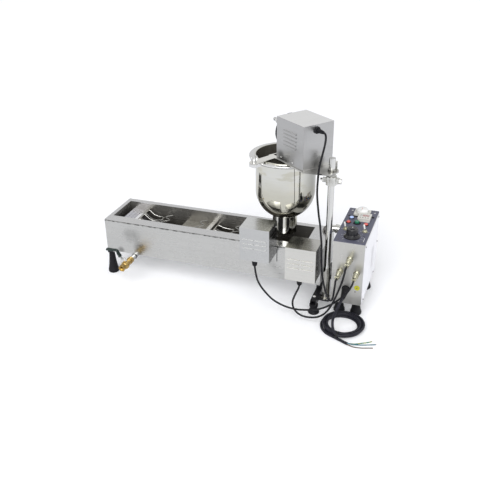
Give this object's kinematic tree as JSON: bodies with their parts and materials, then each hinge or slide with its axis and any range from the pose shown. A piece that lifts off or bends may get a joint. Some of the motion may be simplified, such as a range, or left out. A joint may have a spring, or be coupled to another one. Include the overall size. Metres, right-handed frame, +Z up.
{
  "type": "automatic donut machine",
  "caption": "Automatic donut fryer: a steel oil trough with chain conveyor and wire scoops, a swinging hopper with crank-driven plunger, two drive covers and a control box.",
  "frame": {"origin": "middle of the footprint on the floor, without the cords", "axes": "+X along the trough towards the control box, -Y towards the drive covers, +Z up"},
  "size_m": [1.1322, 0.4612, 0.708],
  "materials": {
    "brushed steel": "brushed",
    "polished steel": "polished",
    "chain steel": "oiled",
    "black plastic": "satin",
    "black paint": "satin",
    "slate paint": "satin",
    "brass": "machined",
    "bronze": "machined",
    "white plastic": "gloss",
    "lamp plastic": "gloss",
    "green plastic": "gloss",
    "aluminium": "machined",
    "motor paint": "satin",
    "heater sheath": "dull",
    "cable rubber": "matte",
    "conductor": "satin",
    "lever": "polished"
  },
  "bodies": {
    "frame": {"trough_casing": "brushed steel", "oil_tank": "brushed steel", "drain_tray": "brushed steel", "turning_plate": "brushed steel", "left_drive_cover": "brushed steel", "right_drive_cover": "brushed steel", "post_socket": "brushed steel", "control_box": "brushed steel", "control_side_cover": "brushed steel", "conveyor_flights": "polished steel", "post": "polished steel", "drain_pipe": "polished steel", "conveyor_chain": "chain steel", "trough_feet": "black plastic", "control_feet": "black plastic", "cover_glands": "black plastic", "strain_relief": "black plastic", "heater_clamp": "black plastic", "cross_frame": "black paint", "control_panel": "slate paint", "valve_body": "brass", "shaft_bushes": "bronze", "panel_instruments": "white plastic", "panel_fittings": "lamp plastic", "cable_connectors": "aluminium", "heater_terminal": "aluminium", "drive_gearmotors": "motor paint", "heating_element": "heater sheath", "hopper_cable_lower": "cable rubber", "left_cable": "cable rubber", "right_cable": "cable rubber", "mains_lead": "cable rubber", "mains_coil": "cable rubber", "mains_wires": "conductor"},
    "turner": {"turner_scoop": "polished steel"},
    "discharge": {"discharge_scoop": "polished steel"},
    "drive_crank": {"drive_arm": "polished steel"},
    "link": {"link_rod": "brushed steel"},
    "driven_sprocket": {"drive_sprocket": "chain steel"},
    "free_sprocket": {"idler_sprocket": "chain steel"},
    "collar": {"post_collar": "brushed steel"},
    "collar_knob": {"clamp_knob": "polished steel"},
    "arm": {"arm_plate": "brushed steel", "motor_box": "brushed steel", "hopper_gearmotor": "motor paint", "motor_box_gland": "black plastic", "hopper_bowl": "polished steel", "hopper_ring": "brushed steel", "wing_bolts": "polished steel", "forming_nozzle": "polished steel", "hopper_cable_upper": "cable rubber"},
    "crank": {"crank_disc": "black paint"},
    "piston": {"plunger": "polished steel"},
    "con_rod": {"connecting_rod": "brushed steel"},
    "drain_lever": {"valve_lever": "lever"},
    "dial": {"dial_knob": "white plastic"},
    "button": {"start_button": "green plastic"},
    "toggle_left": {"left_toggle": "white plastic"},
    "toggle_right": {"right_toggle": "white plastic"},
    "speed": {"speed_knob": "black plastic"}
  },
  "joints": [
    {"name": "turner_hinge", "type": "hinge", "parent": "frame", "child": "turner", "pos_m": [-0.10425, 0.0205, 0.19], "axis": [0, -1, 0], "range_deg": [0, 120]},
    {"name": "discharge_hinge", "type": "hinge", "parent": "frame", "child": "discharge", "pos_m": [-0.41225, 0.0205, 0.212], "axis": [0, -1, 0], "range_deg": [0, 120]},
    {"name": "drive_crank_hinge", "type": "hinge", "parent": "frame", "child": "drive_crank", "pos_m": [0.14375, -0.0695, 0.224], "axis": [0, -1, 0], "range_deg": [0, 120]},
    {"name": "link_hinge", "type": "hinge", "parent": "turner", "child": "link", "pos_m": [-0.12357, -0.0695, 0.18482], "axis": [0, -1, 0], "range_deg": [-120, 0]},
    {"name": "drive_sprocket_spin", "type": "hinge", "parent": "frame", "child": "driven_sprocket", "pos_m": [0.31175, -0.0465, 0.1784], "axis": [0, -1, 0], "continuous": true, "deforming": ["conveyor_chain"]},
    {"name": "idler_sprocket_spin", "type": "hinge", "parent": "frame", "child": "free_sprocket", "pos_m": [-0.37405, -0.0465, 0.1784], "axis": [0, -1, 0], "continuous": true},
    {"name": "collar_lift", "type": "slide", "parent": "frame", "child": "collar", "axis": [0, 0, 1], "range_m": [0, 0.04], "deforming": ["hopper_cable_lower"]},
    {"name": "clamp_knob_turn", "type": "hinge", "parent": "collar", "child": "collar_knob", "pos_m": [0.41375, -0.0845, 0.5207], "axis": [1, 0, 0], "range_deg": [0, 360]},
    {"name": "arm_swing", "type": "hinge", "parent": "collar", "child": "arm", "pos_m": [0.38875, -0.0845, 0.552], "axis": [0, 0, 1], "range_deg": [-30, 0], "deforming": ["hopper_cable_upper"]},
    {"name": "crank_spin", "type": "hinge", "parent": "arm", "child": "crank", "pos_m": [0.21669, 0.01925, 0.645], "axis": [-0.7955, 0.606, 0], "continuous": true},
    {"name": "plunger_slide", "type": "slide", "parent": "arm", "child": "piston", "axis": [0, 0, 1], "range_m": [-0.0891, 0.0108]},
    {"name": "connecting_rod_hinge", "type": "hinge", "parent": "piston", "child": "con_rod", "pos_m": [0.19362, 0.03683, 0.51714], "axis": [-0.7955, 0.606, 0], "range_deg": [-5.2, 29.6]},
    {"name": "valve_lever_turn", "type": "hinge", "parent": "frame", "child": "drain_lever", "pos_m": [-0.39825, -0.1535, 0.12], "axis": [0, 0, 1], "range_deg": [0, 90]},
    {"name": "dial_turn", "type": "hinge", "parent": "frame", "child": "dial", "pos_m": [0.46775, 0.1225, 0.33], "axis": [0, 0, 1], "range_deg": [0, 270]},
    {"name": "button_press", "type": "slide", "parent": "frame", "child": "button", "axis": [0, 0, 1], "range_m": [-0.004, 0], "stiffness_N_per_m": 300},
    {"name": "toggle_left_tip", "type": "hinge", "parent": "frame", "child": "toggle_left", "pos_m": [0.43575, -0.0245, 0.319], "axis": [0, 1, 0], "range_deg": [0, 24]},
    {"name": "toggle_right_tip", "type": "hinge", "parent": "frame", "child": "toggle_right", "pos_m": [0.50475, -0.0255, 0.319], "axis": [0, 1, 0], "range_deg": [0, 24]},
    {"name": "speed_turn", "type": "hinge", "parent": "frame", "child": "speed", "pos_m": [0.46875, -0.0745, 0.33], "axis": [0, 0, 1], "range_deg": [0, 270]}
  ],
  "couplings": [
    {"joint": "discharge_hinge", "follows": "turner_hinge", "ratio": 1},
    {"joint": "drive_crank_hinge", "follows": "turner_hinge", "ratio": 1},
    {"joint": "link_hinge", "follows": "turner_hinge", "ratio": -1},
    {"joint": "idler_sprocket_spin", "follows": "drive_sprocket_spin", "ratio": 1}
  ]
}
